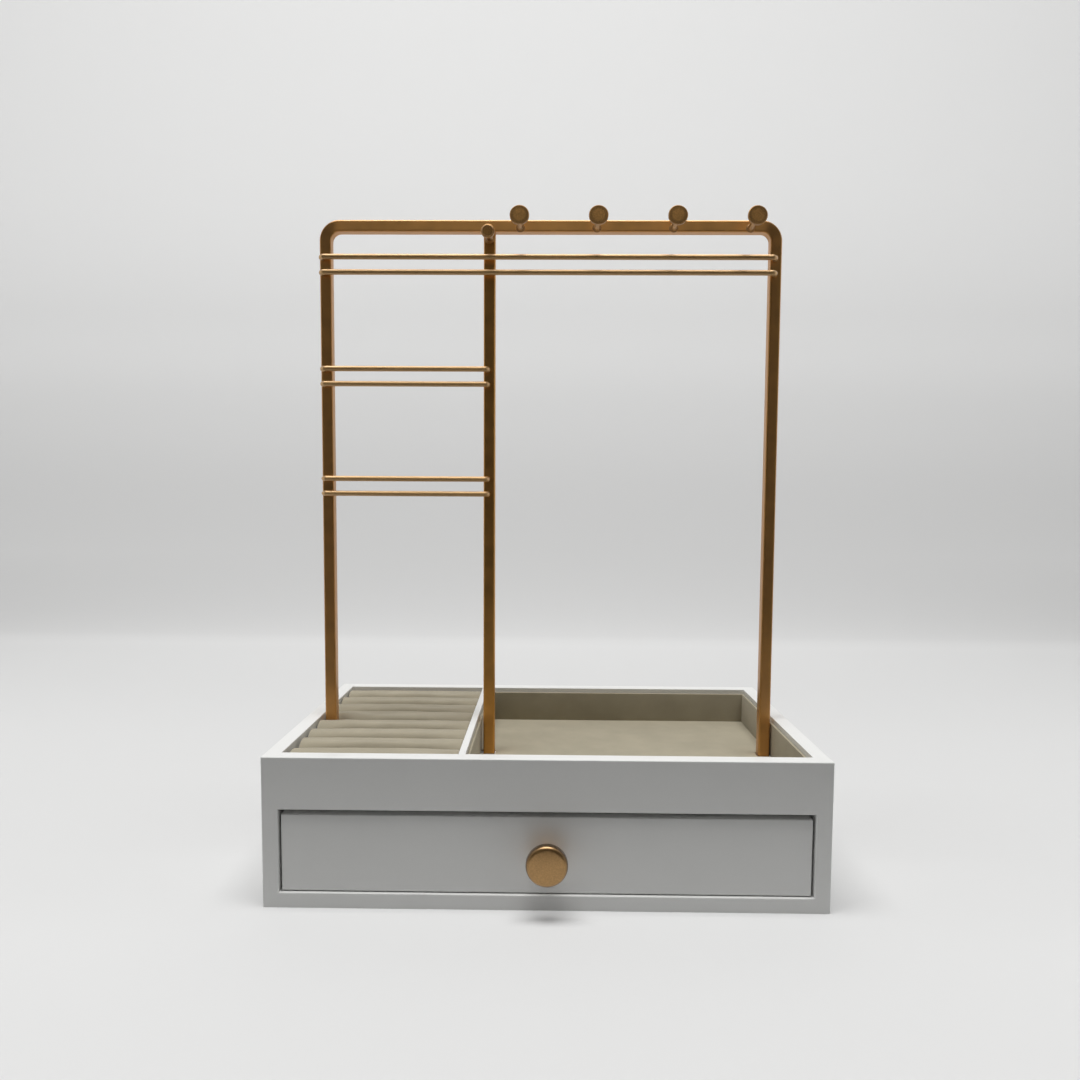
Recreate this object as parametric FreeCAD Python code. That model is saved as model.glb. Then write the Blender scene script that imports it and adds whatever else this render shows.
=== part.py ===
import FreeCAD, Part
import math
import os

# Jewellery stand: a white wooden box with a lined tray, a ring pad and a
# drawer, and a gilt rack of square tube, thin rods and mushroom pegs on top.
# Millimetres. The origin is the centre of the underside: +X is the right side,
# +Y is the back and +Z is up, so the drawer front faces -Y.

Vector = FreeCAD.Vector
X_AXIS = Vector(1, 0, 0)
Y_AXIS = Vector(0, 1, 0)
Z_AXIS = Vector(0, 0, 1)
TINY = 0.01
AXIS_FLAT = 0.6

# ---------------------------------------------------------------- box
BOX_WIDTH = 260.0
BOX_DEPTH = 152.0
BOX_HEIGHT = 70.5
PANEL = 7.5
BOTTOM_THICKNESS = 7.2
RAIL_UNDERSIDE = 46.0
SHELF_UNDERSIDE = 46.3
SHELF_THICKNESS = 3.5
SHELF_HOUSING = 2.5
DIVIDER_X = -39.0
DIVIDER_THICKNESS = 3.4
DIVIDER_HOUSING = 1.5
OUTER_EASE = 0.6
INNER_EASE = 0.4
MOUTH_EASE = 0.7

# ---------------------------------------------------------------- linings
WALL_LINING = 1.3
FLOOR_LINING = 0.8
LINING_BELOW_RIM = 2.7
LINING_EASE = 0.4
POST_CLEARANCE = 0.5

# ---------------------------------------------------------------- ring pad
ROLL_COUNT = 8
PAD_BOARD = 2.0
ROLL_GAP = 0.2
ROLL_BELOW_RIM = 0.9
PAD_SIDE_GAP = 0.5
ROLL_SHOULDER = 5.0
ROLL_CROWN = 14.0

# ---------------------------------------------------------------- rack
TUBE = 6.0
TUBE_WALL = 0.7
TUBE_CORNER = 0.9
RACK_WIDTH = 240.6
RACK_TOP = 332.8
BEND_RADIUS = 7.5
CENTRE_POST_X = -31.5
INSERT_LENGTH = 12.0

ROD_DIAMETER = 2.8
ROD_STANDOFF = 3.2
ROD_BEND = 2.0
ROD_LEFT_END_SHIFT = 1.6
ROD_RIGHT_END_SHIFT = 0.9
ROD_PAIR_SPACING = 7.8
ROD_PAIR_PITCH = 57.2
TOP_PAIR_Z = 309.1
WELD_HEIGHT = 1.1
WELD_SPREAD = 0.9

PEG_COUNT = 4
FIRST_PEG_X = -15.4
PEG_PITCH = 39.7
PEG_TILT = 6.0
PEG_DROP = 1.1
PEG_REACH = 15.6
PEG_HEAD_DIAMETER = 9.8
PEG_STEM_DIAMETER = 3.0
PEG_HEAD_LENGTH = 6.2

CENTRE_PEG_DROP = 3.5
CENTRE_PEG_REACH = 13.0
CENTRE_PEG_HEAD_DIAMETER = 6.9
CENTRE_PEG_STEM_DIAMETER = 3.6
CENTRE_PEG_HEAD_LENGTH = 6.0

# ---------------------------------------------------------------- drawer
DRAWER_RECESS = 1.2
DRAWER_FRONT_THICKNESS = 7.5
DRAWER_FRONT_BOTTOM = 7.6
DRAWER_FRONT_TOP = 43.6
DRAWER_CORNER = 0.7
DRAWER_SIDE_GAP = 1.0
DRAWER_RUN_GAP = 0.3
DRAWER_BACK_GAP = 2.0
DRAWER_WALL = 5.0
DRAWER_WALL_TOP = 38.5
DRAWER_RABBET = 3.0
DRAWER_FLOOR = 3.0
DRAWER_FLOOR_Z = 10.0
DRAWER_GROOVE = 2.5
DRAWER_PAD = 1.0
DRAWER_PAD_GAP = 0.3

KNOB_DIAMETER = 18.9
KNOB_REACH = 14.6
KNOB_X = 0.6
KNOB_Z = 25.8
KNOB_CROWN = 0.55
KNOB_NECK_RADIUS = 4.0
KNOB_FOOT_RADIUS = 5.2
KNOB_SCREW_DIAMETER = 4.0
KNOB_SCREW_BITE = 8.0
KNOB_SCREW_HEAD_DIAMETER = 7.6
KNOB_SCREW_HEAD = 2.4

# ---------------------------------------------------------------- fasteners
LEG_SCREW_DIAMETER = 3.0
LEG_SCREW_BITE = 9.0
LEG_SCREW_HEAD_DIAMETER = 5.8
LEG_SCREW_HEAD = 2.0
WASHER_DIAMETER = 8.0
WASHER_THICKNESS = 0.6
THREAD_CLEARANCE = 0.04
HOLE_CLEARANCE = 0.6

# ---------------------------------------------------------------- worked out
HALF_WIDTH = BOX_WIDTH / 2
HALF_DEPTH = BOX_DEPTH / 2
INNER_X = HALF_WIDTH - PANEL
INNER_Y = HALF_DEPTH - PANEL
SHELF_TOP = SHELF_UNDERSIDE + SHELF_THICKNESS
DIVIDER_LEFT = DIVIDER_X - DIVIDER_THICKNESS / 2
DIVIDER_RIGHT = DIVIDER_X + DIVIDER_THICKNESS / 2
LINING_TOP = BOX_HEIGHT - LINING_BELOW_RIM
HALF_TUBE = TUBE / 2
LEFT_POST_X = HALF_TUBE - RACK_WIDTH / 2
RIGHT_POST_X = RACK_WIDTH / 2 - HALF_TUBE
POST_XS = {"left": LEFT_POST_X, "centre": CENTRE_POST_X, "right": RIGHT_POST_X}
BAR_Z = RACK_TOP - HALF_TUBE
BAR_UNDERSIDE = RACK_TOP - TUBE
POST_FACE_Y = -HALF_TUBE
ROD_Y = POST_FACE_Y - ROD_STANDOFF
DRAWER_FACE_Y = DRAWER_RECESS - HALF_DEPTH
DRAWER_FRONT_REAR_Y = DRAWER_FACE_Y + DRAWER_FRONT_THICKNESS
DRAWER_HALF_WIDTH = INNER_X - DRAWER_SIDE_GAP
DRAWER_REAR_Y = INNER_Y - DRAWER_BACK_GAP
DRAWER_BOTTOM = BOTTOM_THICKNESS + DRAWER_RUN_GAP
DRAWER_INNER_X = DRAWER_HALF_WIDTH - DRAWER_WALL


# ================================================================ helpers
def block(x0, x1, y0, y1, z0, z1):
    """A rectangular solid between two corners."""
    return Part.makeBox(x1 - x0, y1 - y0, z1 - z0, Vector(x0, y0, z0))


def cylinder(radius, start, end):
    """A round solid from one point to another."""
    direction = end - start
    return Part.makeCylinder(radius, direction.Length, start, direction)


def edges_on(shape, axis, **places):
    """Straight edges along an axis whose middle lies at the given x, y or z."""
    found = []
    for edge in shape.Edges:
        if len(edge.Vertexes) != 2:
            continue
        run = edge.Vertexes[1].Point - edge.Vertexes[0].Point
        if run.Length < TINY or abs(abs(run.dot(axis)) - run.Length) > TINY:
            continue
        middle = edge.CenterOfMass
        if all(abs(getattr(middle, name) - value) < TINY for name, value in places.items()):
            found.append(edge)
    return found


def ease(shape, radius, edges):
    """Round the given edges."""
    return shape.makeFillet(radius, edges)


def ease_upright(shape, x, side, y, z0, z1, radius):
    """Round part of an upright front edge; side is where the wood lies, +1 or -1."""
    centre_x = x + side * radius
    corner = block(min(x, centre_x), max(x, centre_x), y, y + radius, z0, z1)
    round_core = cylinder(radius, Vector(centre_x, y + radius, z0), Vector(centre_x, y + radius, z1))
    return shape.cut(corner.cut(round_core))


def ease_inner_rim(shape, x, side):
    """Round the inner top edge of a side panel between the front rail and the back."""
    centre_x = x + side * INNER_EASE
    centre_z = BOX_HEIGHT - INNER_EASE
    corner = block(min(x, centre_x), max(x, centre_x), -INNER_Y, INNER_Y, centre_z, BOX_HEIGHT)
    round_core = cylinder(
        INNER_EASE, Vector(centre_x, -INNER_Y, centre_z), Vector(centre_x, INNER_Y, centre_z)
    )
    return shape.cut(corner.cut(round_core))


def rounded_square(size, radius):
    """A wire of a square with round corners, centred on the origin in XY."""
    half = size / 2
    flat = half - radius
    bulge = flat + radius * math.sqrt(0.5)
    edges = []
    for turn in range(4):
        angle = 90.0 * turn
        side = Part.LineSegment(Vector(half, -flat, 0), Vector(half, flat, 0)).toShape()
        corner = Part.Arc(Vector(half, flat, 0), Vector(bulge, bulge, 0), Vector(flat, half, 0)).toShape()
        for edge in (side, corner):
            edge.rotate(Vector(0, 0, 0), Z_AXIS, angle)
            edges.append(edge)
    return Part.Wire(edges)


def bore_square():
    """A wire of the tube's bore, which has sharp corners."""
    half = TUBE / 2 - TUBE_WALL
    corners = [(half, -half), (half, half), (-half, half), (-half, -half), (half, -half)]
    return Part.makePolygon([Vector(x, y, 0) for x, y in corners])


def tube_section(centre, along):
    """The tube's ring-shaped section at a point, facing along +X or +Z."""
    outer = rounded_square(TUBE, TUBE_CORNER)
    section = Part.Face([outer, bore_square()])
    if along == "x":
        section.rotate(Vector(0, 0, 0), Y_AXIS, 90)
    section.translate(centre)
    return section


def turned(profile, root, tilt=0.0):
    """Turn a profile about a line that runs forward from root, tilted up by tilt degrees.

    The profile is a list of (reach, radius) corners. An entry ("arc", middle, end)
    bends through its middle, and ("dome", reach) closes it with a ball-shaped cap
    that has a small flat on the axis.
    """
    edges = []
    start = Vector(profile[0][1], -profile[0][0], 0)
    last = start
    for entry in profile[1:]:
        if entry[0] == "arc":
            middle = Vector(entry[1][1], -entry[1][0], 0)
            end = Vector(entry[2][1], -entry[2][0], 0)
            edges.append(Part.Arc(last, middle, end).toShape())
        elif entry[0] == "dome":
            rise = entry[1] + last.y
            ball = (last.x ** 2 + rise ** 2) / (2 * rise)
            centre_y = ball - entry[1]
            angles = (math.asin(last.x / ball), math.asin(AXIS_FLAT / ball))
            middle, end = (
                Vector(ball * math.sin(angle), centre_y - ball * math.cos(angle), 0)
                for angle in (sum(angles) / 2, angles[1])
            )
            edges.append(Part.Arc(last, middle, end).toShape())
            last = end
            end = Vector(0, end.y, 0)
            edges.append(Part.LineSegment(last, end).toShape())
        else:
            end = Vector(entry[1], -entry[0], 0)
            edges.append(Part.LineSegment(last, end).toShape())
        last = end
    edges.append(Part.LineSegment(last, start).toShape())
    solid = Part.Face(Part.Wire(edges)).revolve(Vector(0, 0, 0), Y_AXIS, 360)
    solid.rotate(Vector(0, 0, 0), X_AXIS, -tilt)
    solid.translate(root)
    return solid


# ================================================================ box panels
def side_panel(side):
    """A side of the box: full depth and height, housed for the shelf."""
    inner = side * INNER_X
    outer = side * HALF_WIDTH
    panel = block(min(inner, outer), max(inner, outer), -HALF_DEPTH, HALF_DEPTH, 0, BOX_HEIGHT)
    outer_edges = edges_on(panel, Y_AXIS, x=outer)
    outer_edges += edges_on(panel, Z_AXIS, x=outer)
    outer_edges += edges_on(panel, X_AXIS, z=BOX_HEIGHT)
    panel = ease(panel, OUTER_EASE, outer_edges)
    panel = ease_inner_rim(panel, inner, side)
    panel = ease_upright(
        panel, inner, side, -HALF_DEPTH, BOTTOM_THICKNESS, RAIL_UNDERSIDE, MOUTH_EASE
    )
    housing_x = inner + side * SHELF_HOUSING
    housing = block(
        min(inner, housing_x), max(inner, housing_x),
        -INNER_Y, INNER_Y + SHELF_HOUSING, SHELF_UNDERSIDE, SHELF_TOP,
    )
    return panel.cut(housing)


def divider_housing(side):
    """The shallow upright groove that takes one end of the divider."""
    y0 = side * INNER_Y
    y1 = side * (INNER_Y + DIVIDER_HOUSING)
    return block(
        DIVIDER_LEFT, DIVIDER_RIGHT, min(y0, y1), max(y0, y1), SHELF_TOP, BOX_HEIGHT + 1
    )


def back_panel():
    """The back of the box, between the sides, grooved for the shelf and divider."""
    panel = block(-INNER_X, INNER_X, INNER_Y, HALF_DEPTH, 0, BOX_HEIGHT)
    panel = ease(panel, OUTER_EASE, edges_on(panel, X_AXIS, y=HALF_DEPTH, z=BOX_HEIGHT))
    panel = ease(panel, INNER_EASE, edges_on(panel, X_AXIS, y=INNER_Y, z=BOX_HEIGHT))
    housing = block(
        -INNER_X, INNER_X, INNER_Y, INNER_Y + SHELF_HOUSING, SHELF_UNDERSIDE, SHELF_TOP
    )
    return panel.cut(housing).cut(divider_housing(1))


def front_rail():
    """The rail over the drawer, between the sides."""
    rail = block(-INNER_X, INNER_X, -HALF_DEPTH, -INNER_Y, RAIL_UNDERSIDE, BOX_HEIGHT)
    rail = ease(rail, OUTER_EASE, edges_on(rail, X_AXIS, y=-HALF_DEPTH, z=BOX_HEIGHT))
    rail = ease(rail, MOUTH_EASE, edges_on(rail, X_AXIS, y=-HALF_DEPTH, z=RAIL_UNDERSIDE))
    rail = ease(rail, INNER_EASE, edges_on(rail, X_AXIS, y=-INNER_Y, z=BOX_HEIGHT))
    return rail.cut(divider_housing(-1))


def bottom_panel():
    """The floor of the box, between the sides, which the drawer runs on."""
    panel = block(-INNER_X, INNER_X, -HALF_DEPTH, INNER_Y, 0, BOTTOM_THICKNESS)
    return ease(panel, MOUTH_EASE, edges_on(panel, X_AXIS, y=-HALF_DEPTH, z=BOTTOM_THICKNESS))


def shelf_panel():
    """The thin shelf under the tray, drilled for the three leg screws."""
    reach_x = INNER_X + SHELF_HOUSING
    shelf = block(
        -reach_x, reach_x, -INNER_Y, INNER_Y + SHELF_HOUSING, SHELF_UNDERSIDE, SHELF_TOP
    )
    radius = (LEG_SCREW_DIAMETER + HOLE_CLEARANCE) / 2
    for x in POST_XS.values():
        shelf = shelf.cut(cylinder(radius, Vector(x, 0, SHELF_UNDERSIDE - 1), Vector(x, 0, SHELF_TOP + 1)))
    return shelf


def divider():
    """The thin wall between the ring pad and the tray, flush with the rim."""
    reach_y = INNER_Y + DIVIDER_HOUSING
    wall = block(DIVIDER_LEFT, DIVIDER_RIGHT, -reach_y, reach_y, SHELF_TOP, BOX_HEIGHT)
    return ease(wall, INNER_EASE, edges_on(wall, Y_AXIS, z=BOX_HEIGHT))


# ================================================================ tray linings
def tray_wall_lining(x0, x1, y0, y1):
    """A velvet-covered board that stands against one wall of the tray."""
    board = block(x0, x1, y0, y1, SHELF_TOP, LINING_TOP)
    axis = X_AXIS if x1 - x0 > y1 - y0 else Y_AXIS
    return ease(board, LINING_EASE, edges_on(board, axis, z=LINING_TOP))


def tray_floor_lining():
    """The velvet-covered floor board, notched round the centre and right posts."""
    x0 = DIVIDER_RIGHT + WALL_LINING
    x1 = INNER_X - WALL_LINING
    half_y = INNER_Y - WALL_LINING
    board = block(x0, x1, -half_y, half_y, SHELF_TOP, SHELF_TOP + FLOOR_LINING)
    reach = HALF_TUBE + POST_CLEARANCE
    left_notch = block(x0 - 1, CENTRE_POST_X + reach, -reach, reach, SHELF_TOP - 1, LINING_TOP)
    right_notch = block(RIGHT_POST_X - reach, x1 + 1, -reach, reach, SHELF_TOP - 1, LINING_TOP)
    return board.cut(left_notch).cut(right_notch)


# ================================================================ ring pad
def post_notch():
    """The space that the left post takes out of the end of the ring pad."""
    reach = HALF_TUBE + POST_CLEARANCE
    return block(-INNER_X, LEFT_POST_X + reach, -reach, reach, SHELF_TOP - 1, BOX_HEIGHT)


def ring_pad_board():
    """The board that the rolls are glued to."""
    board = block(
        PAD_SIDE_GAP - INNER_X, DIVIDER_LEFT - PAD_SIDE_GAP,
        PAD_SIDE_GAP - INNER_Y, INNER_Y - PAD_SIDE_GAP, SHELF_TOP, SHELF_TOP + PAD_BOARD,
    )
    return board.cut(post_notch())


def ring_roll(number):
    """One padded roll: a loaf section with a flat crown and round shoulders."""
    pitch = 2 * INNER_Y / ROLL_COUNT
    centre_y = (number + 0.5) * pitch - INNER_Y
    half = (pitch - ROLL_GAP) / 2
    x0 = PAD_SIDE_GAP - INNER_X
    x1 = DIVIDER_LEFT - PAD_SIDE_GAP
    base = SHELF_TOP + PAD_BOARD
    top = BOX_HEIGHT - ROLL_BELOW_RIM
    shoulder_y = half - ROLL_SHOULDER
    turn = math.asin(shoulder_y / (ROLL_CROWN - ROLL_SHOULDER))
    crown_z = top - ROLL_CROWN
    shoulder_z = crown_z + (ROLL_CROWN - ROLL_SHOULDER) * math.cos(turn)

    def on_shoulder(side, angle):
        y = shoulder_y + ROLL_SHOULDER * math.sin(angle)
        return Vector(x0, centre_y + side * y, shoulder_z + ROLL_SHOULDER * math.cos(angle))

    upright = math.pi / 2
    middle = (turn + upright) / 2
    left = [on_shoulder(-1, angle) for angle in (upright, middle, turn)]
    right = [on_shoulder(1, angle) for angle in (turn, middle, upright)]
    feet = [Vector(x0, centre_y + half, base), Vector(x0, centre_y - half, base)]
    outline = [
        Part.Arc(*left), Part.Arc(left[2], Vector(x0, centre_y, top), right[0]), Part.Arc(*right),
        Part.LineSegment(right[2], feet[0]), Part.LineSegment(*feet),
        Part.LineSegment(feet[1], left[0]),
    ]
    section = Part.Face(Part.Wire([curve.toShape() for curve in outline]))
    return section.extrude(Vector(x1 - x0, 0, 0)).cut(post_notch())


# ================================================================ rack
def hanger_frame():
    """One square tube bent into an arch: left leg, top bar and right leg."""
    leg_top = BAR_Z - BEND_RADIUS
    bar_end = RIGHT_POST_X - BEND_RADIUS
    pieces = []
    for x, side in ((LEFT_POST_X, -1), (RIGHT_POST_X, 1)):
        foot = tube_section(Vector(x, 0, SHELF_TOP), "z")
        pieces.append(foot.extrude(Vector(0, 0, leg_top - SHELF_TOP)))
        shoulder = tube_section(Vector(x, 0, leg_top), "z")
        bend_centre = Vector(x - side * BEND_RADIUS, 0, leg_top)
        pieces.append(shoulder.revolve(bend_centre, Y_AXIS, -side * 90))
    bar = tube_section(Vector(-bar_end, 0, BAR_Z), "x")
    pieces.append(bar.extrude(Vector(2 * bar_end, 0, 0)))
    return pieces[0].multiFuse(pieces[1:]).removeSplitter()


def centre_post():
    """The straight tube under the bar, between the ring pad and the tray."""
    foot = tube_section(Vector(CENTRE_POST_X, 0, SHELF_TOP), "z")
    return foot.extrude(Vector(0, 0, BAR_UNDERSIDE - SHELF_TOP))


def leg_insert(x):
    """The threaded plug in the foot of a leg."""
    plug = Part.Face(bore_square())
    plug.translate(Vector(x, 0, SHELF_TOP))
    plug = plug.extrude(Vector(0, 0, INSERT_LENGTH))
    bore = cylinder(
        LEG_SCREW_DIAMETER / 2 + THREAD_CLEARANCE,
        Vector(x, 0, SHELF_TOP - 1), Vector(x, 0, SHELF_TOP + INSERT_LENGTH + 1),
    )
    return plug.cut(bore)


def rod_end(x, side, z):
    """One end of a rod: a quarter bend and a short leg that meets the post."""
    radius = ROD_DIAMETER / 2
    leg_end = Vector(x, ROD_Y + ROD_BEND, z)
    section = Part.Face(Part.Wire([Part.Circle(leg_end, Y_AXIS, radius).toShape()]))
    bend = section.revolve(Vector(x - side * ROD_BEND, leg_end.y, z), Z_AXIS, -side * 90)
    return [bend, cylinder(radius, Vector(x, POST_FACE_Y, z), leg_end)]


def rod(left_post_x, right_post_x, z):
    """A thin rod with both ends bent back and welded to the faces of two posts."""
    x0 = left_post_x - ROD_LEFT_END_SHIFT
    x1 = right_post_x - ROD_RIGHT_END_SHIFT
    run = cylinder(
        ROD_DIAMETER / 2, Vector(x0 + ROD_BEND, ROD_Y, z), Vector(x1 - ROD_BEND, ROD_Y, z)
    )
    return run.multiFuse(rod_end(x0, -1, z) + rod_end(x1, 1, z)).removeSplitter()


def peg_stem(root, diameter, length, tilt):
    """The wire stem of a peg, welded to the face it stands on."""
    radius = diameter / 2
    stem = turned(
        [
            (-1.0, 0), (-1.0, radius + WELD_SPREAD), (0, radius + WELD_SPREAD),
            (WELD_HEIGHT, radius), (length, radius), (length, 0),
        ],
        root, tilt,
    )
    behind = block(
        root.x - diameter, root.x + diameter, root.y, root.y + diameter,
        root.z - diameter, root.z + diameter,
    )
    return stem.cut(behind)


def peg_head(root, diameter, stem_diameter, reach, length, tilt, crown):
    """A mushroom head on a stem: a cone at the back, a rim, and a flat bevelled face."""
    rim = diameter / 2
    stem = stem_diameter / 2
    back = reach - length
    rim_back = reach - crown - 1.2
    profile = [
        (back, 0), (back, stem + 0.3),
        ("arc", (back + 0.62 * (rim_back - back), stem + 0.34 * (rim - stem)), (rim_back, rim)),
        (reach - crown, rim),
    ]
    profile += [(reach, rim - crown), (reach, 0)]
    return turned(profile, root, tilt)


# ================================================================ drawer
def drawer_front():
    """The inset drawer front, rabbeted for the sides and grooved for the floor."""
    half = DRAWER_HALF_WIDTH
    front = block(
        -half, half, DRAWER_FACE_Y, DRAWER_FRONT_REAR_Y, DRAWER_FRONT_BOTTOM, DRAWER_FRONT_TOP
    )
    front = ease(front, DRAWER_CORNER, edges_on(front, Y_AXIS))
    face_edges = [edge for edge in front.Edges if abs(edge.CenterOfMass.y - DRAWER_FACE_Y) < TINY]
    front = ease(front, OUTER_EASE, face_edges)
    rabbet_y = DRAWER_FRONT_REAR_Y - DRAWER_RABBET
    for side in (-1, 1):
        x0 = side * DRAWER_INNER_X
        x1 = side * (half + 1)
        front = front.cut(block(
            min(x0, x1), max(x0, x1), rabbet_y, DRAWER_FRONT_REAR_Y + 1,
            DRAWER_FRONT_BOTTOM - 1, DRAWER_WALL_TOP,
        ))
    groove = block(
        -DRAWER_INNER_X, DRAWER_INNER_X, DRAWER_FRONT_REAR_Y - DRAWER_GROOVE,
        DRAWER_FRONT_REAR_Y, DRAWER_FLOOR_Z, DRAWER_FLOOR_Z + DRAWER_FLOOR,
    )
    screw_hole = cylinder(
        (KNOB_SCREW_DIAMETER + HOLE_CLEARANCE) / 2,
        Vector(KNOB_X, DRAWER_FACE_Y - 1, KNOB_Z), Vector(KNOB_X, DRAWER_FRONT_REAR_Y + 1, KNOB_Z),
    )
    return front.cut(groove).cut(screw_hole)


def drawer_side(side):
    """A drawer side, let into the front and grooved for the floor."""
    x0 = side * DRAWER_INNER_X
    x1 = side * DRAWER_HALF_WIDTH
    wall = block(
        min(x0, x1), max(x0, x1), DRAWER_FRONT_REAR_Y - DRAWER_RABBET, DRAWER_REAR_Y,
        DRAWER_BOTTOM, DRAWER_WALL_TOP,
    )
    wall = ease(wall, INNER_EASE, edges_on(wall, Y_AXIS, z=DRAWER_WALL_TOP))
    groove_x = x0 + side * DRAWER_GROOVE
    groove = block(
        min(x0, groove_x), max(x0, groove_x), DRAWER_FRONT_REAR_Y - DRAWER_RABBET, DRAWER_REAR_Y,
        DRAWER_FLOOR_Z, DRAWER_FLOOR_Z + DRAWER_FLOOR,
    )
    return wall.cut(groove)


def drawer_back():
    """The drawer back, which stands on the drawer floor."""
    back = block(
        -DRAWER_INNER_X, DRAWER_INNER_X, DRAWER_REAR_Y - DRAWER_WALL, DRAWER_REAR_Y,
        DRAWER_FLOOR_Z + DRAWER_FLOOR, DRAWER_WALL_TOP,
    )
    return ease(back, INNER_EASE, edges_on(back, X_AXIS, z=DRAWER_WALL_TOP))


def drawer_floor():
    """The thin drawer floor, in the grooves of the front and sides."""
    reach_x = DRAWER_INNER_X + DRAWER_GROOVE
    floor = block(
        -reach_x, reach_x, DRAWER_FRONT_REAR_Y, DRAWER_REAR_Y,
        DRAWER_FLOOR_Z, DRAWER_FLOOR_Z + DRAWER_FLOOR,
    )
    tongue = block(
        -DRAWER_INNER_X, DRAWER_INNER_X, DRAWER_FRONT_REAR_Y - DRAWER_GROOVE, DRAWER_FRONT_REAR_Y,
        DRAWER_FLOOR_Z, DRAWER_FLOOR_Z + DRAWER_FLOOR,
    )
    return floor.fuse(tongue).removeSplitter()


def drawer_pad():
    """The velvet-covered card on the drawer floor."""
    half_x = DRAWER_INNER_X - DRAWER_PAD_GAP
    base = DRAWER_FLOOR_Z + DRAWER_FLOOR
    pad = block(
        -half_x, half_x, DRAWER_FRONT_REAR_Y + DRAWER_PAD_GAP,
        DRAWER_REAR_Y - DRAWER_WALL - DRAWER_PAD_GAP, base, base + DRAWER_PAD,
    )
    top_edges = edges_on(pad, X_AXIS, z=base + DRAWER_PAD) + edges_on(pad, Y_AXIS, z=base + DRAWER_PAD)
    return ease(pad, LINING_EASE, top_edges)


def knob():
    """The round knob: a foot, a waisted neck and a disc head with a rounded rim."""
    rim = KNOB_DIAMETER / 2
    face = KNOB_REACH - KNOB_CROWN
    body = turned(
        [
            (0, 0), (0, KNOB_FOOT_RADIUS), (0.8, KNOB_FOOT_RADIUS),
            ("arc", (1.6, KNOB_NECK_RADIUS + 0.5), (3.2, KNOB_NECK_RADIUS)),
            (4.6, KNOB_NECK_RADIUS),
            ("arc", (6.6, KNOB_NECK_RADIUS + 1.0), (9.0, rim - 1.3)),
            ("arc", (9.5, rim - 0.4), (10.4, rim)),
            (face - 1.1, rim),
            ("arc", (face - 0.35, rim - 0.3), (face, rim - 1.0)),
            ("dome", KNOB_REACH),
        ],
        Vector(KNOB_X, DRAWER_FACE_Y, KNOB_Z),
    )
    bore = cylinder(
        KNOB_SCREW_DIAMETER / 2 + THREAD_CLEARANCE,
        Vector(KNOB_X, DRAWER_FACE_Y + 1, KNOB_Z),
        Vector(KNOB_X, DRAWER_FACE_Y - KNOB_SCREW_BITE - 1, KNOB_Z),
    )
    return body.cut(bore)


# ================================================================ fasteners
def pan_head_screw(under_head, direction, shank, length, head, head_height):
    """A screw whose sloped head sits on under_head, with its shank along direction."""
    shaft = cylinder(shank / 2, under_head, under_head + direction * length)
    cap = cylinder(head / 2, under_head, under_head - direction * head_height)
    rim = [
        edge for edge in cap.Edges
        if isinstance(edge.Curve, Part.Circle)
        and (edge.CenterOfMass - under_head).Length > head_height / 2
    ]
    return cap.makeChamfer(head_height / 2, rim).fuse(shaft).removeSplitter()


def leg_screws():
    """Three screws that come up through the shelf into the legs."""
    under_head = SHELF_UNDERSIDE - WASHER_THICKNESS
    length = SHELF_THICKNESS + WASHER_THICKNESS + LEG_SCREW_BITE
    return Part.Compound([
        pan_head_screw(
            Vector(x, 0, under_head), Z_AXIS, LEG_SCREW_DIAMETER, length,
            LEG_SCREW_HEAD_DIAMETER, LEG_SCREW_HEAD,
        )
        for x in POST_XS.values()
    ])


def leg_washers():
    """Three washers under the screw heads."""
    washers = []
    for x in POST_XS.values():
        low = Vector(x, 0, SHELF_UNDERSIDE - WASHER_THICKNESS)
        high = Vector(x, 0, SHELF_UNDERSIDE)
        disc = cylinder(WASHER_DIAMETER / 2, low, high)
        hole = cylinder(LEG_SCREW_DIAMETER / 2 + THREAD_CLEARANCE, low - Z_AXIS, high + Z_AXIS)
        washers.append(disc.cut(hole))
    return Part.Compound(washers)


def knob_screw():
    """The screw through the drawer front into the knob."""
    return pan_head_screw(
        Vector(KNOB_X, DRAWER_FRONT_REAR_Y, KNOB_Z), Vector(0, -1, 0), KNOB_SCREW_DIAMETER,
        DRAWER_FRONT_THICKNESS + KNOB_SCREW_BITE, KNOB_SCREW_HEAD_DIAMETER, KNOB_SCREW_HEAD,
    )


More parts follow.
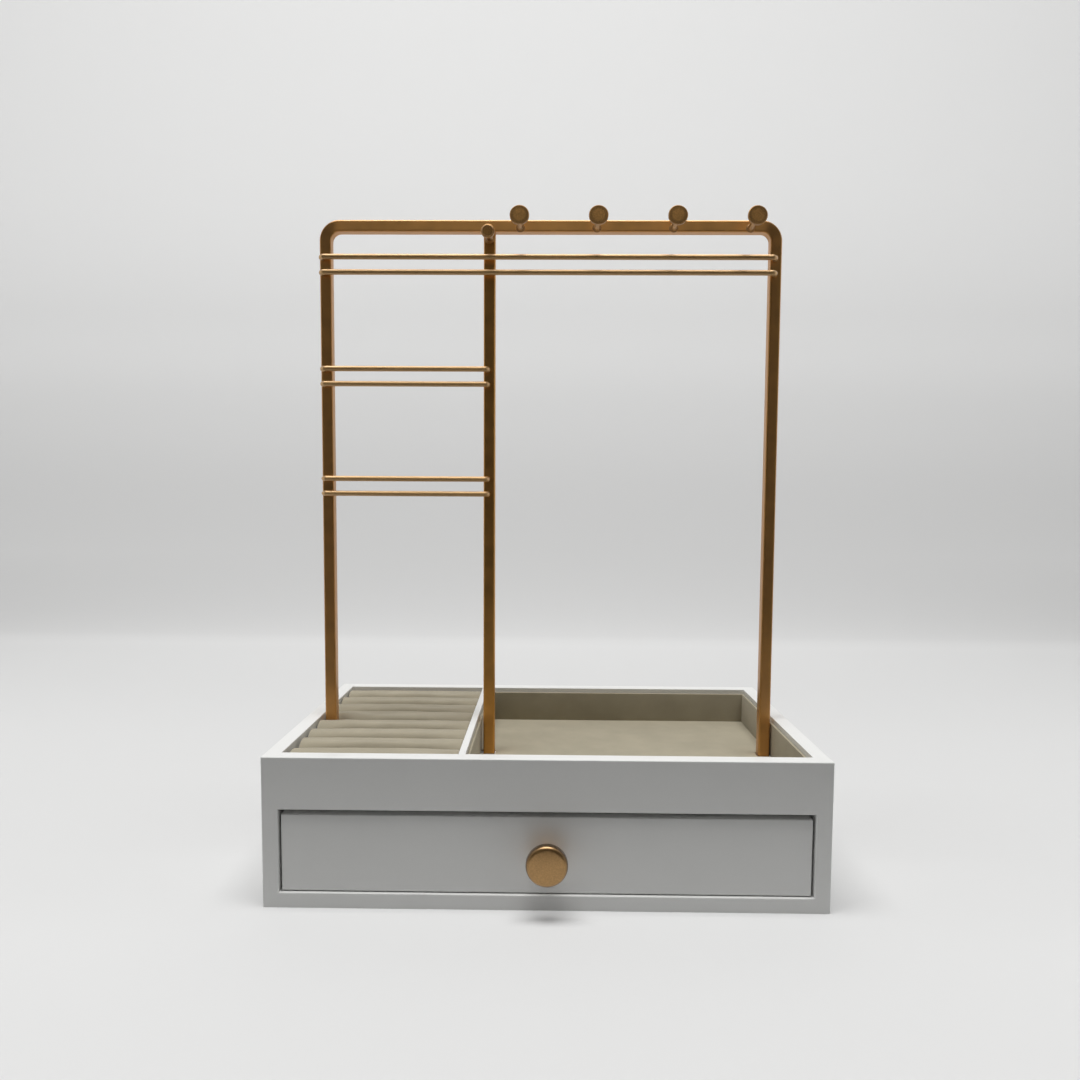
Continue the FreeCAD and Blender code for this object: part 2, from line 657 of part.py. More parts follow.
# ================================================================ assembly
def build():
    """Every piece by name, each in its place."""
    lined_y = INNER_Y - WALL_LINING
    parts = {
        "left_side_panel": side_panel(-1),
        "right_side_panel": side_panel(1),
        "back_panel": back_panel(),
        "front_rail": front_rail(),
        "bottom_panel": bottom_panel(),
        "shelf_panel": shelf_panel(),
        "divider": divider(),
        "tray_floor_lining": tray_floor_lining(),
        "tray_front_lining": tray_wall_lining(DIVIDER_RIGHT, INNER_X, -INNER_Y, -lined_y),
        "tray_back_lining": tray_wall_lining(DIVIDER_RIGHT, INNER_X, lined_y, INNER_Y),
        "tray_left_lining": tray_wall_lining(
            DIVIDER_RIGHT, DIVIDER_RIGHT + WALL_LINING, -lined_y, lined_y
        ),
        "tray_right_lining": tray_wall_lining(INNER_X - WALL_LINING, INNER_X, -lined_y, lined_y),
        "ring_pad_board": ring_pad_board(),
        "hanger_frame": hanger_frame(),
        "centre_post": centre_post(),
        "leg_screws": leg_screws(),
        "leg_washers": leg_washers(),
        "drawer_front": drawer_front(),
        "drawer_left_side": drawer_side(-1),
        "drawer_right_side": drawer_side(1),
        "drawer_back": drawer_back(),
        "drawer_floor": drawer_floor(),
        "drawer_pad": drawer_pad(),
        "drawer_knob": knob(),
        "knob_screw": knob_screw(),
    }
    for number in range(ROLL_COUNT):
        parts[f"ring_roll_{number + 1}"] = ring_roll(number)
    for name, x in POST_XS.items():
        parts[f"{name}_leg_insert"] = leg_insert(x)
    for level, name in enumerate(("top", "middle", "bottom")):
        right_end = RIGHT_POST_X if level == 0 else CENTRE_POST_X
        pair_z = TOP_PAIR_Z - level * ROD_PAIR_PITCH
        for place, half in (("upper", 0.5), ("lower", -0.5)):
            z = pair_z + half * ROD_PAIR_SPACING
            parts[f"{name}_rod_{place}"] = rod(LEFT_POST_X, right_end, z)
    for number in range(PEG_COUNT):
        root = Vector(FIRST_PEG_X + number * PEG_PITCH, POST_FACE_Y, BAR_Z - PEG_DROP)
        parts[f"peg_stem_{number + 1}"] = peg_stem(
            root, PEG_STEM_DIAMETER, PEG_REACH - PEG_HEAD_LENGTH, PEG_TILT
        )
        parts[f"peg_head_{number + 1}"] = peg_head(
            root, PEG_HEAD_DIAMETER, PEG_STEM_DIAMETER, PEG_REACH, PEG_HEAD_LENGTH, PEG_TILT, 0.4
        )
    root = Vector(CENTRE_POST_X, POST_FACE_Y, BAR_UNDERSIDE - CENTRE_PEG_DROP)
    parts["centre_peg_stem"] = peg_stem(
        root, CENTRE_PEG_STEM_DIAMETER, CENTRE_PEG_REACH - CENTRE_PEG_HEAD_LENGTH, 0.0
    )
    parts["centre_peg_head"] = peg_head(
        root, CENTRE_PEG_HEAD_DIAMETER, CENTRE_PEG_STEM_DIAMETER, CENTRE_PEG_REACH,
        CENTRE_PEG_HEAD_LENGTH, 0.0, 0.9,
    )
    return parts


for node, shape in build().items():
    shape.exportStep(f"parts/{node}.step")
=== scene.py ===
import math
import bmesh
import bpy
from mathutils import Matrix, Vector, noise


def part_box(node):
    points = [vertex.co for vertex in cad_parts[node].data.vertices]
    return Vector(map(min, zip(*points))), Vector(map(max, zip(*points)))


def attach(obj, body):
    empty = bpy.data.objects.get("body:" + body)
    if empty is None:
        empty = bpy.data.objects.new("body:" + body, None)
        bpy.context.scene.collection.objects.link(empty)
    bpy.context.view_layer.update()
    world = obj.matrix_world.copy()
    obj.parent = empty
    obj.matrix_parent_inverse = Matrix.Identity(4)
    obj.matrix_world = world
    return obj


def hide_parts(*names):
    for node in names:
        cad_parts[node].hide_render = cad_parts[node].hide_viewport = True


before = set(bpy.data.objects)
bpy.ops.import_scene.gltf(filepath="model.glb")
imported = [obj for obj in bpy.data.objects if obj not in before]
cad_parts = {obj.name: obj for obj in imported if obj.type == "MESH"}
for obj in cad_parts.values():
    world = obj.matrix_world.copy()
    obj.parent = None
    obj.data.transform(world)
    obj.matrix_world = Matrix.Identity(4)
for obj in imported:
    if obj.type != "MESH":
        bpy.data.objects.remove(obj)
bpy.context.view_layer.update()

# A white box with a lined tray, a ring pad and a drawer, under a gilt rack.
# Metres, in the row frame: +X right, +Y back, +Z up, the drawer front faces -Y.
# Angles are in degrees, apart from the camera's, which are in radians.

MM = 0.001

# ---------------------------------------------------------------- camera
PHOTO_SIZE = 1080
FOCAL_PIXELS = 823.2
PRINCIPAL_ROW = 560
SENSOR_MM = 36.0
CAMERA_PLACE = Vector((0.00149, -0.44105, 0.18656))
CAMERA_PITCH = 0.0698
CAMERA_YAW = -0.0132
CAMERA_ROLL = 0.0057
CAMERA_NEAR = 0.01

# ---------------------------------------------------------------- stage and light
FLOOR_COLOUR = (0.62, 0.62, 0.617)
FLOOR_ROUGHNESS = 0.9
FLOOR_GLOSS = 0.1
GLOW_COLOUR = (1, 1, 0.995)
FLOOR_GLOW = 0.14
FAR_GLOW = 0.9
FAR_FADE = (1.7, 3.8)
# (height, tone) up the wall, and (y, tone) back along the floor: painted shade and light, darker at the
# foot of the wall and on the floor behind the object, paler high on the wall
WALL_PAINTED_SHADE = [(0.0, 0.95), (0.025, 0.80), (0.13, 0.77), (0.34, 0.92), (0.55, 1.15), (1.0, 1.15)]
FLOOR_PAINTED_SHADE = [
    (-1.0, 1.0), (-0.15, 1.0), (-0.11, 0.995), (-0.06, 0.96), (0.15, 0.94),
    (0.40, 0.925), (0.56, 0.955), (0.74, 1.0), (0.78, 1.0), (2.0, 1.0),
]
# Painted shade to the sides, where floor meets wall, sets in over a span of y and ends over a span of
# height.
SIDE_PAINTED_SHADE = 0.18
SIDE_PAINTED_SHADE_DEPTH = (0.20, 0.56)
SIDE_PAINTED_SHADE_HEIGHT = (0.10, 0.0)
FLOOR_FRONT = -4.0
FLOOR_SEAM = -1.0
SWEEP_START = 0.62
SWEEP_RADIUS = 0.55
SWEEP_STEPS = 24
SWEEP_HEIGHT = 3.2
SWEEP_HALF_WIDTH = 4.0
LAMP_PLACE = (-0.13, -0.32, 3.0)
LAMP_SIZE = (2.6, 0.9)
LAMP_POWER = 94.0
ROOM_COLOUR = (1.0, 1.0, 0.99, 1)
ROOM_LIGHT = 0.15
ROOM_SEEN = 1.0
# A dark sheet that puts shade on the paint's front faces and dark reflections in the metal. Its middle
# stands at CURTAIN_FACING degrees, anticlockwise from +X.
CURTAIN_RADIUS = 0.34
CURTAIN_FACING = 270
CURTAIN_SPAN = 130
CURTAIN_STEPS = 24
CURTAIN_HEIGHT = 0.8
SHADE_CURTAIN_COLOUR = (0.07, 0.07, 0.07, 1)

# ---------------------------------------------------------------- finishes
# A noise scale is in features per metre, and NOISE_SPREAD is the middle of a noise's range.
# A mottle is the darkest and the palest multiple of a colour.
NOISE_SPREAD = (0.3, 0.7)

PAINT_COLOUR = (0.77, 0.771, 0.754)
PAINT_MOTTLE = (0.985, 1.01)
PAINT_ROUGHNESS = (0.30, 0.38)
PAINT_IOR = 1.5
CLOUD_SCALE = 14.0
SAG_SCALE, SAG_DEPTH, SAG_STRENGTH = 60.0, 0.2 * MM, 0.25
PEEL_SCALE, PEEL_DEPTH, PEEL_STRENGTH = 900.0, 0.02 * MM, 0.5

# One gilt paint on the rack, in toned copies: the posts paler as painted light, the rods paler as painted
# highlight, the pegs darker as painted shade.
GILT_COLOUR = (0.60, 0.305, 0.09)
SHADED_PEG_COLOUR = (0.42, 0.222, 0.066)
LIT_POST_COLOUR = (0.68, 0.35, 0.095)
ROD_HIGHLIGHT_COLOUR = (0.50, 0.31, 0.13)
KNOB_COLOUR = (0.375, 0.214, 0.074)
GILT_MOTTLE = (0.92, 1.06)
GILT_CLOUD_SCALE = 120.0
GILT_ROUGHNESS_SPREAD = 0.04
LACQUER_ROUGHNESS = 0.3
SPECK_SCALE, SPECK_DEPTH, SPECK_STRENGTH = 2600.0, 0.03 * MM, 0.2
SPECKLE_SCALE = 1500.0
GRAIN_STRENGTH = 0.8
GRAIN_QUARTER_TURN = 0.25
GRAIN_LEAST = 0.0001 * MM
BEND_RADIUS = 10.5 * MM
# (share of the head's radius, tone) outwards over a turned head: painted shade, a dark ring towards the rim
PEG_PAINTED_SHADE_RING = [(0.55, 1.0), (0.72, 0.66), (0.90, 0.60), (1.0, 0.95)]
KNOB_PAINTED_SHADE_RING = [(0.86, 1.0), (0.92, 0.84), (0.96, 0.55), (1.0, 0.5)]

VELVET_COLOUR = (0.405, 0.367, 0.275)
# The same velvet as the tray floor, darker: painted shade on the upright wall linings.
SHADED_WALL_VELVET_COLOUR = (0.355, 0.318, 0.235)
ROLL_COLOUR = (0.372, 0.333, 0.249)
VELVET_MOTTLE = (0.93, 1.06)
VELVET_ROUGHNESS = 0.95
VELVET_GLOSS = 0.15
BLOOM_ROUGHNESS = 0.5
BLOOM_COLOUR = (0.95, 0.90, 0.78, 1)
NAP_SCALE, NAP_DETAIL = 70.0, 3.0
PILE_SCALE, PILE_DEPTH, PILE_STRENGTH = 3200.0, 0.12 * MM, 0.6

STEEL_COLOUR = (0.62, 0.62, 0.63)
STEEL_MOTTLE = (0.85, 1.1)
STEEL_ROUGHNESS = (0.28, 0.42)
STEEL_WEAR_SCALE = 300.0

# ---------------------------------------------------------------- knob
# Radii, and runs out from the drawer front.
KNOB_BORE = 2.04 * MM
KNOB_BORE_DEPTH = 9.0 * MM
KNOB_FOOT = 5.2 * MM
KNOB_FOOT_RUN = 0.8 * MM
KNOB_NECK = 4.0 * MM
KNOB_NECK_RUN = (3.0 * MM, 4.6 * MM)
KNOB_FLARE_POWER = 2.2
KNOB_HEAD_BACK = 9.4 * MM
KNOB_BACK_ROUND = 0.7 * MM
KNOB_EDGE_ROUND = 2.1 * MM
KNOB_FACE_SLOPE = 9
KNOB_NECK_STEPS = 6
KNOB_FLARE_STEPS = 10
KNOB_BACK_STEPS = 6
KNOB_EDGE_STEPS = 14
KNOB_FACE_STEPS = 10
KNOB_SEGMENTS = 128

# ---------------------------------------------------------------- ring rolls
ROLL_SHOULDER = 7.9 * MM
ROLL_CROWN = 9.0 * MM
ROLL_FOOT_STEPS = 4
ROLL_SHOULDER_STEPS = 5
ROLL_CROWN_STEPS = 4
ROLL_BASE_SHARES = (0.5, 0.25, 0.0)
ROLL_STATIONS = 40
ROLL_END_ROUND = 1.1 * MM
ROLL_END_GAPS = [gap * MM for gap in (1.7, 1.5, 0.9, 0.6, 0.4, 0.3, 0.3, 0.3)]
ROLL_COUNT = len(ROLL_END_GAPS)
ROLL_UNEVEN = 0.28 * MM
ROLL_UNEVEN_SCALE = (90, 120, 7.3)
ROLL_BEFORE_POST = 3
ROLL_BEHIND_POST = 4
POST_GAP = 0.35 * MM
POST_PINCH_RUN = 7.0 * MM
CAP_INNER_RING = 0.6
CLOTH_FRAMES = 18
CLOTH_PRESSURE = 4.0
CLOTH_QUALITY = 6
CLOTH_HELD = 2.0 * MM
CLOTH_CAP = 0.5 * MM
CLOTH_STILL = 1e-9

# ---------------------------------------------------------------- covered boards
BOARD_EDGE = 0.3 * MM
BOARD_EDGE_STEPS = 3
BOARD_WELD = 0.001 * MM
BOARD_FLAT_ANGLE = 1


# ================================================================ shader helpers
def new_material(name):
    """A material with its Principled shader, ready to wire."""
    material = bpy.data.materials.new(name)
    material.use_nodes = True
    nodes = material.node_tree.nodes
    return material, nodes, material.node_tree.links, nodes["Principled BSDF"]


def math_node(nodes, links, operation, first, second=None):
    """One step of arithmetic on sockets or numbers."""
    step = nodes.new("ShaderNodeMath")
    step.operation = operation
    for socket, value in zip(step.inputs, (first, second)):
        if isinstance(value, bpy.types.NodeSocket):
            links.new(value, socket)
        elif value is not None:
            socket.default_value = value
    return step.outputs["Value"]


def object_place(nodes, links):
    """The x, y and z of a point in the object's own metres."""
    coordinate = nodes.new("ShaderNodeTexCoord")
    split = nodes.new("ShaderNodeSeparateXYZ")
    links.new(coordinate.outputs["Object"], split.inputs["Vector"])
    return split.outputs["X"], split.outputs["Y"], split.outputs["Z"]


def object_noise(nodes, links, scale, detail=2.0):
    """Noise in the object's own metres."""
    coordinate = nodes.new("ShaderNodeTexCoord")
    texture = nodes.new("ShaderNodeTexNoise")
    texture.inputs["Scale"].default_value = scale
    texture.inputs["Detail"].default_value = detail
    links.new(coordinate.outputs["Object"], texture.inputs["Vector"])
    return texture.outputs["Fac"]


def varied(nodes, links, factor, low, high):
    """A value that follows a noise between low and high."""
    spread = nodes.new("ShaderNodeMapRange")
    spread.inputs["From Min"].default_value = NOISE_SPREAD[0]
    spread.inputs["From Max"].default_value = NOISE_SPREAD[1]
    spread.inputs["To Min"].default_value = low
    spread.inputs["To Max"].default_value = high
    links.new(factor, spread.inputs["Value"])
    return spread.outputs["Result"]


def mottled(nodes, links, factor, colour, mottle):
    """A colour that follows a noise between the two tones of its mottle."""
    ramp = nodes.new("ShaderNodeValToRGB")
    for stop, place, tone in zip(ramp.color_ramp.elements, NOISE_SPREAD, mottle):
        stop.position = place
        stop.color = (*[channel * tone for channel in colour], 1)
    links.new(factor, ramp.inputs["Fac"])
    return ramp.outputs["Color"]


def scaled_colour(nodes, links, colour, tone):
    """A colour, or one that varies, multiplied by a tone."""
    product = nodes.new("ShaderNodeVectorMath")
    product.operation = "SCALE"
    if isinstance(colour, bpy.types.NodeSocket):
        links.new(colour, product.inputs[0])
    else:
        product.inputs[0].default_value = colour
    links.new(tone, product.inputs["Scale"])
    return product.outputs["Vector"]


def bumped(nodes, links, height, distance, strength, normal=None):
    """A bump of the given depth in metres, over an earlier one if there is one."""
    bump = nodes.new("ShaderNodeBump")
    bump.inputs["Distance"].default_value = distance
    bump.inputs["Strength"].default_value = strength
    links.new(height, bump.inputs["Height"])
    if normal:
        links.new(normal, bump.inputs["Normal"])
    return bump.outputs["Normal"]


# ================================================================ finishes
def white_paint():
    """Sprayed satin lacquer: a faint orange peel and slightly uneven gloss."""
    material, nodes, links, shader = new_material("white_satin_paint")
    cloud = object_noise(nodes, links, CLOUD_SCALE)
    peel = object_noise(nodes, links, PEEL_SCALE)
    sag = object_noise(nodes, links, SAG_SCALE)
    links.new(mottled(nodes, links, cloud, PAINT_COLOUR, PAINT_MOTTLE), shader.inputs["Base Color"])
    links.new(varied(nodes, links, sag, *PAINT_ROUGHNESS), shader.inputs["Roughness"])
    soft = bumped(nodes, links, sag, SAG_DEPTH, SAG_STRENGTH)
    skin = bumped(nodes, links, peel, PEEL_DEPTH, PEEL_STRENGTH, soft)
    links.new(skin, shader.inputs["Normal"])
    shader.inputs["IOR"].default_value = PAINT_IOR
    return material


def grain_direction(nodes, links, run):
    """The way the metal was drawn: along x, along z, or round the bends of the arch."""
    way = nodes.new("ShaderNodeCombineXYZ")
    if run in "xz":
        way.inputs["XZ"["xz".index(run)]].default_value = 1.0
        return way.outputs["Vector"]
    x, _, z = object_place(nodes, links)
    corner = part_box("hanger_frame")[1]
    side = math_node(nodes, links, "SIGN", x)
    out = math_node(nodes, links, "ABSOLUTE", x)
    out = math_node(nodes, links, "SUBTRACT", out, corner.x - BEND_RADIUS)
    out = math_node(nodes, links, "MAXIMUM", out, 0.0)
    up = math_node(nodes, links, "SUBTRACT", z, corner.z - BEND_RADIUS)
    up = math_node(nodes, links, "MAXIMUM", up, 0.0)
    across = math_node(nodes, links, "MULTIPLY", side, up)
    links.new(math_node(nodes, links, "MULTIPLY", across, -1.0), way.inputs["X"])
    links.new(math_node(nodes, links, "ADD", out, GRAIN_LEAST), way.inputs["Z"])
    return way.outputs["Vector"]


def painted_shade_ring(nodes, links, stops):
    """Painted shade by distance from the axis of a turned head, which runs roughly along y."""
    coordinate = nodes.new("ShaderNodeTexCoord")
    # Generated coordinates run from 0 to 1 over the head: centre x and z, and drop y.
    centred = nodes.new("ShaderNodeVectorMath")
    centred.operation = "MULTIPLY_ADD"
    centred.inputs[1].default_value = (2, 0, 2)
    centred.inputs[2].default_value = (-1, 0, -1)
    links.new(coordinate.outputs["Generated"], centred.inputs[0])
    radius = nodes.new("ShaderNodeVectorMath")
    radius.operation = "LENGTH"
    links.new(centred.outputs["Vector"], radius.inputs[0])
    ring = nodes.new("ShaderNodeValToRGB")
    for place, _ in stops[1:-1]:
        ring.color_ramp.elements.new(place)
    for stop, (place, tone) in zip(ring.color_ramp.elements, stops):
        stop.position = place
        stop.color = (tone, tone, tone, 1)
    links.new(radius.outputs["Value"], ring.inputs["Fac"])
    return ring.outputs["Color"]


def gilt_paint(name, colour, run, roughness, lacquer, speckle=0.0, ring=None):
    """Gold-bronze on drawn or turned metal, a little cloudy, under clear lacquer."""
    material, nodes, links, shader = new_material(name)
    cloud = object_noise(nodes, links, GILT_CLOUD_SCALE)
    speck = object_noise(nodes, links, SPECK_SCALE)
    base = mottled(nodes, links, cloud, colour, GILT_MOTTLE)
    if speckle:
        grains = object_noise(nodes, links, SPECKLE_SCALE)
        base = scaled_colour(nodes, links, base, varied(nodes, links, grains, 1 - speckle, 1 + speckle))
    # Painted shade: a dark ring towards the rim of a turned head.
    if ring:
        base = scaled_colour(nodes, links, base, painted_shade_ring(nodes, links, ring))
    links.new(base, shader.inputs["Base Color"])
    smooth, rough = roughness - GILT_ROUGHNESS_SPREAD, roughness + GILT_ROUGHNESS_SPREAD
    links.new(varied(nodes, links, cloud, smooth, rough), shader.inputs["Roughness"])
    links.new(bumped(nodes, links, speck, SPECK_DEPTH, SPECK_STRENGTH), shader.inputs["Normal"])
    shader.inputs["Metallic"].default_value = 1.0
    shader.inputs["Coat Weight"].default_value = lacquer
    shader.inputs["Coat Roughness"].default_value = LACQUER_ROUGHNESS
    if run:
        shader.inputs["Anisotropic"].default_value = GRAIN_STRENGTH
        shader.inputs["Anisotropic Rotation"].default_value = GRAIN_QUARTER_TURN
        links.new(grain_direction(nodes, links, run), shader.inputs["Tangent"])
    return material


def velvet(name, colour, bloom):
    """Short-pile beige velvet: dark face on, pale where the pile is seen edge on."""
    material, nodes, links, shader = new_material(name)
    nap = object_noise(nodes, links, NAP_SCALE, NAP_DETAIL)
    pile = object_noise(nodes, links, PILE_SCALE)
    links.new(mottled(nodes, links, nap, colour, VELVET_MOTTLE), shader.inputs["Base Color"])
    links.new(bumped(nodes, links, pile, PILE_DEPTH, PILE_STRENGTH), shader.inputs["Normal"])
    shader.inputs["Roughness"].default_value = VELVET_ROUGHNESS
    shader.inputs["Specular IOR Level"].default_value = VELVET_GLOSS
    shader.inputs["Sheen Weight"].default_value = bloom
    shader.inputs["Sheen Roughness"].default_value = BLOOM_ROUGHNESS
    shader.inputs["Sheen Tint"].default_value = BLOOM_COLOUR
    return material


def screw_steel():
    """Zinc-plated steel of the hidden screws and washers."""
    material, nodes, links, shader = new_material("zinc_steel")
    wear = object_noise(nodes, links, STEEL_WEAR_SCALE)
    links.new(mottled(nodes, links, wear, STEEL_COLOUR, STEEL_MOTTLE), shader.inputs["Base Color"])
    links.new(varied(nodes, links, wear, *STEEL_ROUGHNESS), shader.inputs["Roughness"])
    shader.inputs["Metallic"].default_value = 1.0
    return material


PAINT = white_paint()
# Painted light and shade: toned copies of the one gilt paint for posts, rods and pegs.
GILT_TUBE = gilt_paint("gilt_bent_tube", GILT_COLOUR, "bent", 0.46, 0.7)
GILT_POST_PAINTED_LIGHT = gilt_paint("gilt_post_painted_light", LIT_POST_COLOUR, "z", 0.45, 0.2)
GILT_ROD_PAINTED_HIGHLIGHT = gilt_paint("gilt_rod", ROD_HIGHLIGHT_COLOUR, "x", 0.5, 0.9)
GILT_PEG_PAINTED_SHADE = gilt_paint("gilt_peg_painted_shade", SHADED_PEG_COLOUR, None, 0.5, 0.5, 0.22, PEG_PAINTED_SHADE_RING)
GILT_KNOB_PAINTED_SHADE = gilt_paint("gilt_knob_painted_shade", KNOB_COLOUR, None, 0.38, 0.8, 0.14, KNOB_PAINTED_SHADE_RING)
VELVET = velvet("beige_velvet", VELVET_COLOUR, 0.35)
# Painted shade: the wall linings get a darker copy of the one velvet.
SHADED_WALL_VELVET = velvet("beige_wall_velvet", SHADED_WALL_VELVET_COLOUR, 0.3)
ROLL_VELVET = velvet("beige_roll_velvet", ROLL_COLOUR, 0.6)
STEEL = screw_steel()
SLOT_FINISH = {
    "white_paint": PAINT,
    "gilt_paint": GILT_PEG_PAINTED_SHADE,
    "velvet_board": VELVET,
    "ring_pad_velvet": VELVET,
    "screw_steel": STEEL,
}
NODE_FINISH = {"hanger_frame": GILT_TUBE, "centre_post": GILT_POST_PAINTED_LIGHT}


def finish_cad_nodes():
    """Give every CAD node its own finish, or that of its slot in the record."""
    for name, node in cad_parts.items():
        for place in node.material_slots:
            slot = place.material.name.split(".")[0]
            finish = GILT_ROD_PAINTED_HIGHLIGHT if "_rod_" in name else SLOT_FINISH[slot]
            place.material = NODE_FINISH.get(name, finish)


# ================================================================ soft pieces
def mesh_piece(name, points, faces, material):
    """A smooth-shaded mesh object from points and faces, in the row frame."""
    mesh = bpy.data.meshes.new(name)
    mesh.from_pydata(points, [], faces)
    mesh.update()
    mesh.shade_smooth()
    mesh.materials.append(material)
    piece = bpy.data.objects.new(name, mesh)
    bpy.context.scene.collection.objects.link(piece)
    return piece


def capped_sweep(rings):
    """Points and faces of a closed form through rings of equally many points."""
    count = len(rings[0])
    last_row = (len(rings) - 1) * count
    points = [point for ring in rings for point in ring]
    faces = []
    for row in range(len(rings) - 1):
        for k in range(count):
            a, b = row * count + k, row * count + (k + 1) % count
            faces.append((a, b, b + count, a + count))
    for ring, first, outward in ((rings[0], 0, False), (rings[-1], last_row, True)):
        middle = sum(ring, Vector()) / count
        inner = len(points)
        points += [middle.lerp(point, CAP_INNER_RING) for point in ring]
        centre = len(points)
        points.append(middle)
        for k in range(count):
            after = (k + 1) % count
            quad = (first + k, first + after, inner + after, inner + k)
            fan = (inner + k, inner + after, centre)
            faces += [quad, fan] if outward else [quad[::-1], fan[::-1]]
    return points, faces


def loaf_section(half, height):
    """Points (y, z) over a loaf section, foot to foot, and then along its base."""
    shoulder_y = half - ROLL_SHOULDER
    turn = math.asin(shoulder_y / (ROLL_CROWN - ROLL_SHOULDER))
    shoulder_z = height - ROLL_CROWN + (ROLL_CROWN - ROLL_SHOULDER) * math.cos(turn)
    side = [(half, shoulder_z * step / ROLL_FOOT_STEPS) for step in range(ROLL_FOOT_STEPS)]
    for step in range(ROLL_SHOULDER_STEPS + 1):
        angle = math.pi / 2 + (turn - math.pi / 2) * step / ROLL_SHOULDER_STEPS
        side.append((
            shoulder_y + ROLL_SHOULDER * math.sin(angle),
            shoulder_z + ROLL_SHOULDER * math.cos(angle),
        ))
    for step in range(1, ROLL_CROWN_STEPS):
        angle = turn * (1 - step / ROLL_CROWN_STEPS)
        side.append((ROLL_CROWN * math.sin(angle), height - ROLL_CROWN * (1 - math.cos(angle))))
    over = [(-y, z) for y, z in side] + [(0.0, height)] + side[::-1]
    return over + [(half * share, 0.0) for share in ROLL_BASE_SHARES]


def end_inset(to_end):
    """How far a roll's skin draws in near its rounded ends."""
    if to_end >= ROLL_END_ROUND:
        return 0.0
    return ROLL_END_ROUND - math.sqrt(ROLL_END_ROUND**2 - (ROLL_END_ROUND - to_end)**2)


def post_pinch(beyond):
    """The share of the full pinch: whole beside the post, and nothing a run past it."""
    share = 1 - min(max(beyond / POST_PINCH_RUN, 0), 1)
    return share * share * (3 - 2 * share)


def roll_shape(number):
    """A padded roll before it is filled, in the space of its CAD solid."""
    low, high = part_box(f"ring_roll_{number + 1}")
    height = high.z - low.z
    centre_y = (low.y + high.y) / 2
    half = (high.y - low.y) / 2
    wall_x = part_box("left_side_panel")[1].x
    x0 = wall_x + ROLL_END_GAPS[number]
    plug_low, plug_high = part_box("left_leg_insert")
    tube_low, tube_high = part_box("centre_post")
    post_x = (plug_low.x + plug_high.x) / 2
    post_room = (tube_high.x - tube_low.x) / 2 + POST_GAP
    section = loaf_section(half, height)
    along_x, along_y, along_rolls = ROLL_UNEVEN_SCALE
    rings = []
    for station in range(ROLL_STATIONS + 1):
        share = (1 - math.cos(math.pi * station / ROLL_STATIONS)) / 2
        x = x0 + (high.x - x0) * share
        inset = end_inset(min(x - x0, high.x - x))
        pinch = post_pinch(x - (post_x + post_room)) * post_room / half
        ring = []
        for y, z in section:
            squeeze = 1 - inset / half
            if (number == ROLL_BEFORE_POST and y > 0) or (number == ROLL_BEHIND_POST and y < 0):
                squeeze -= pinch
            spot = Vector((x * along_x, y * along_y, number * along_rolls))
            lift = z * (1 - (inset - ROLL_UNEVEN * noise.noise(spot)) / height)
            ring.append(Vector((x, centre_y + y * squeeze, low.z + min(lift, height))))
        rings.append(ring)
    return capped_sweep(rings)


def filled(points, faces, pinned_below):
    """The points of a foam-filled cover: cloth under pressure, held at its base."""
    cover = mesh_piece("cover", points, faces, VELVET)
    held = cover.vertex_groups.new(name="held")
    held.add([i for i, point in enumerate(points) if point.z < pinned_below], 1.0, "REPLACE")
    cloth = cover.modifiers.new("fill", "CLOTH")
    cloth.settings.vertex_group_mass = "held"
    cloth.settings.use_pressure = True
    cloth.settings.uniform_pressure_force = CLOTH_PRESSURE
    cloth.settings.effector_weights.gravity = 0.0
    cloth.settings.quality = CLOTH_QUALITY
    cloth.collision_settings.use_collision = False
    for step in range(1, CLOTH_FRAMES + 1):
        bpy.context.scene.frame_set(step)
    shaped = cover.evaluated_get(bpy.context.evaluated_depsgraph_get())
    moves = [vertex.co - point for vertex, point in zip(shaped.data.vertices, points)]
    bpy.data.objects.remove(cover)
    bpy.context.scene.frame_set(1)
    return [
        point + move * min(1.0, CLOTH_CAP / max(move.length, CLOTH_STILL))
        for point, move in zip(points, moves)
    ]


def ring_rolls():
    """Eight velvet rolls, filled together and then kept inside their own slots."""
    shapes = [roll_shape(number) for number in range(ROLL_COUNT)]
    size = len(shapes[0][0])
    points = [point for shape in shapes for point in shape[0]]
    faces = [
        tuple(index + number * size for index in face)
        for number, shape in enumerate(shapes) for face in shape[1]
    ]
    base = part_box("ring_roll_1")[0].z
    settled = filled(points, faces, base + CLOTH_HELD)
    for number in range(ROLL_COUNT):
        low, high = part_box(f"ring_roll_{number + 1}")
        own = settled[number * size:(number + 1) * size]
        for point in own:
            point.y = min(max(point.y, low.y), high.y)
            point.x = min(max(point.x, low.x), high.x)
            point.z = max(point.z, low.z)
        roll = mesh_piece(f"velvet_roll_{number + 1}", own, shapes[number][1], ROLL_VELVET)
        roll.modifiers.new("smooth", "SUBSURF").levels = 1
        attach(roll, "stand")
        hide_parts(f"ring_roll_{number + 1}")


